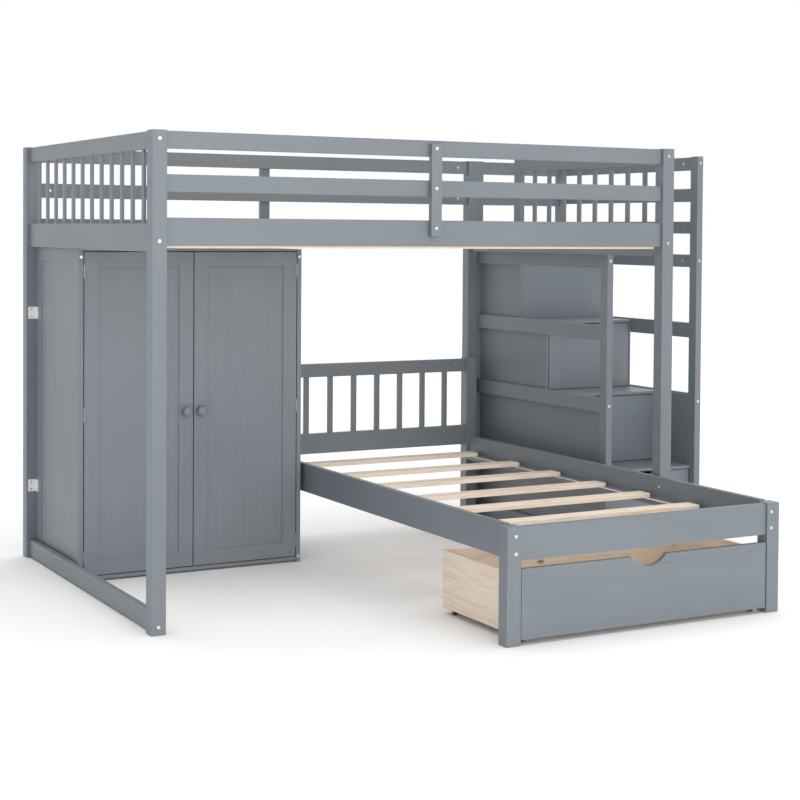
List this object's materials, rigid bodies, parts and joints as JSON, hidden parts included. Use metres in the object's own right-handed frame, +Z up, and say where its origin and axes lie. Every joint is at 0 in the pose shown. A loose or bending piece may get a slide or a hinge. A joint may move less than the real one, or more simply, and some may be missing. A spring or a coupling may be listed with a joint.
{
  "type": "loft bed",
  "caption": "Loft bed over a crosswise lower bed, with a hinged-door wardrobe under one end, a wheeled drawer under the lower bed and a stair tower with a drawer in each step.",
  "frame": {"origin": "centre of the bounding box on the floor", "axes": "+X from the wardrobe end to the stair tower, along the loft; +Y from the lower bed's foot to the wall side; +Z up"},
  "size_m": [2.468, 2.106, 1.576],
  "materials": {
    "painted_wood": "satin blue-grey paint",
    "knob": "satin blue-grey paint",
    "pine": "clear matt lacquer",
    "wheel_plastic": "moulded black",
    "hanging_rail": "satin"
  },
  "bodies": {
    "bed_frame": {"bed_foot_post_left": "painted_wood", "bed_foot_post_right": "painted_wood", "bed_foot_rail": "painted_wood", "bed_headboard": "painted_wood", "bed_side_rail_left": "painted_wood", "bed_side_rail_right": "painted_wood", "bed_slat_base": "pine", "loft_back_batten": "painted_wood", "loft_back_guard_middle": "painted_wood", "loft_back_guard_top": "painted_wood", "loft_back_rail": "painted_wood", "loft_floor_rail": "painted_wood", "loft_front_batten": "painted_wood", "loft_front_guard_middle": "painted_wood", "loft_front_guard_top": "painted_wood", "loft_front_rail": "painted_wood", "loft_left_guard": "painted_wood", "loft_post_back_left": "painted_wood", "loft_post_back_right": "painted_wood", "loft_post_front_left": "painted_wood", "loft_post_front_right": "painted_wood", "loft_right_guard": "painted_wood", "loft_slat_base": "pine", "stair_back_frame": "painted_wood", "stair_back_panel": "painted_wood", "stair_base_board": "painted_wood", "stair_inner_frame": "painted_wood", "stair_inner_panel": "painted_wood", "stair_landing": "painted_wood", "stair_outer_frame": "painted_wood", "stair_outer_panel": "painted_wood", "stair_top_riser": "painted_wood", "stair_tread_1": "painted_wood", "stair_tread_2": "painted_wood", "stair_tread_3": "painted_wood", "wardrobe_back": "painted_wood", "wardrobe_bottom": "painted_wood", "wardrobe_hanging_rail": "hanging_rail", "wardrobe_side_left": "painted_wood", "wardrobe_side_right": "painted_wood", "wardrobe_top": "painted_wood"},
    "left_door": {"wardrobe_door_left": "painted_wood", "wardrobe_knob_left": "knob"},
    "right_door": {"wardrobe_door_right": "painted_wood", "wardrobe_knob_right": "knob"},
    "bed_drawer": {"bed_drawer_front": "painted_wood", "bed_drawer_side_left": "pine", "bed_drawer_side_right": "pine", "bed_drawer_back": "pine", "bed_drawer_bottom": "pine"},
    "drawer_wheel_front_left": {"bed_drawer_wheel_front_left": "wheel_plastic"},
    "drawer_wheel_front_right": {"bed_drawer_wheel_front_right": "wheel_plastic"},
    "drawer_wheel_back_left": {"bed_drawer_wheel_back_left": "wheel_plastic"},
    "drawer_wheel_back_right": {"bed_drawer_wheel_back_right": "wheel_plastic"},
    "stair_drawer_1": {"stair_drawer_1_front": "painted_wood", "stair_drawer_1_box": "pine"},
    "stair_drawer_2": {"stair_drawer_2_front": "painted_wood", "stair_drawer_2_box": "pine"},
    "stair_drawer_3": {"stair_drawer_3_front": "painted_wood", "stair_drawer_3_box": "pine"}
  },
  "joints": [
    {"name": "left_door_hinge", "type": "hinge", "parent": "bed_frame", "child": "left_door", "pos_m": [-1.177, 0.453, 0.597], "axis": [0, 0, -1], "range_deg": [0, 90]},
    {"name": "right_door_hinge", "type": "hinge", "parent": "bed_frame", "child": "right_door", "pos_m": [-0.35, 0.453, 0.597], "axis": [0, 0, 1], "range_deg": [0, 90]},
    {"name": "bed_drawer_slide", "type": "slide", "parent": "bed_frame", "child": "bed_drawer", "axis": [0, -1, 0], "range_m": [0, 0.45]},
    {"name": "wheel_front_left_spin", "type": "hinge", "parent": "bed_drawer", "child": "drawer_wheel_front_left", "pos_m": [-0.247, -1.005, 0.013], "axis": [1, 0, 0], "continuous": true},
    {"name": "wheel_front_right_spin", "type": "hinge", "parent": "bed_drawer", "child": "drawer_wheel_front_right", "pos_m": [0.659, -1.005, 0.013], "axis": [1, 0, 0], "continuous": true},
    {"name": "wheel_back_left_spin", "type": "hinge", "parent": "bed_drawer", "child": "drawer_wheel_back_left", "pos_m": [-0.247, -0.595, 0.013], "axis": [1, 0, 0], "continuous": true},
    {"name": "wheel_back_right_spin", "type": "hinge", "parent": "bed_drawer", "child": "drawer_wheel_back_right", "pos_m": [0.659, -0.595, 0.013], "axis": [1, 0, 0], "continuous": true},
    {"name": "stair_drawer_1_slide", "type": "slide", "parent": "bed_frame", "child": "stair_drawer_1", "axis": [0, -1, 0], "range_m": [0, 0.3]},
    {"name": "stair_drawer_2_slide", "type": "slide", "parent": "bed_frame", "child": "stair_drawer_2", "axis": [0, -1, 0], "range_m": [0, 0.3]},
    {"name": "stair_drawer_3_slide", "type": "slide", "parent": "bed_frame", "child": "stair_drawer_3", "axis": [0, -1, 0], "range_m": [0, 0.3]}
  ],
  "couplings": [
    {"joint": "wheel_front_left_spin", "follows": "bed_drawer_slide", "rad_per_m": 76.923},
    {"joint": "wheel_front_right_spin", "follows": "bed_drawer_slide", "rad_per_m": 76.923},
    {"joint": "wheel_back_left_spin", "follows": "bed_drawer_slide", "rad_per_m": 76.923},
    {"joint": "wheel_back_right_spin", "follows": "bed_drawer_slide", "rad_per_m": 76.923}
  ]
}
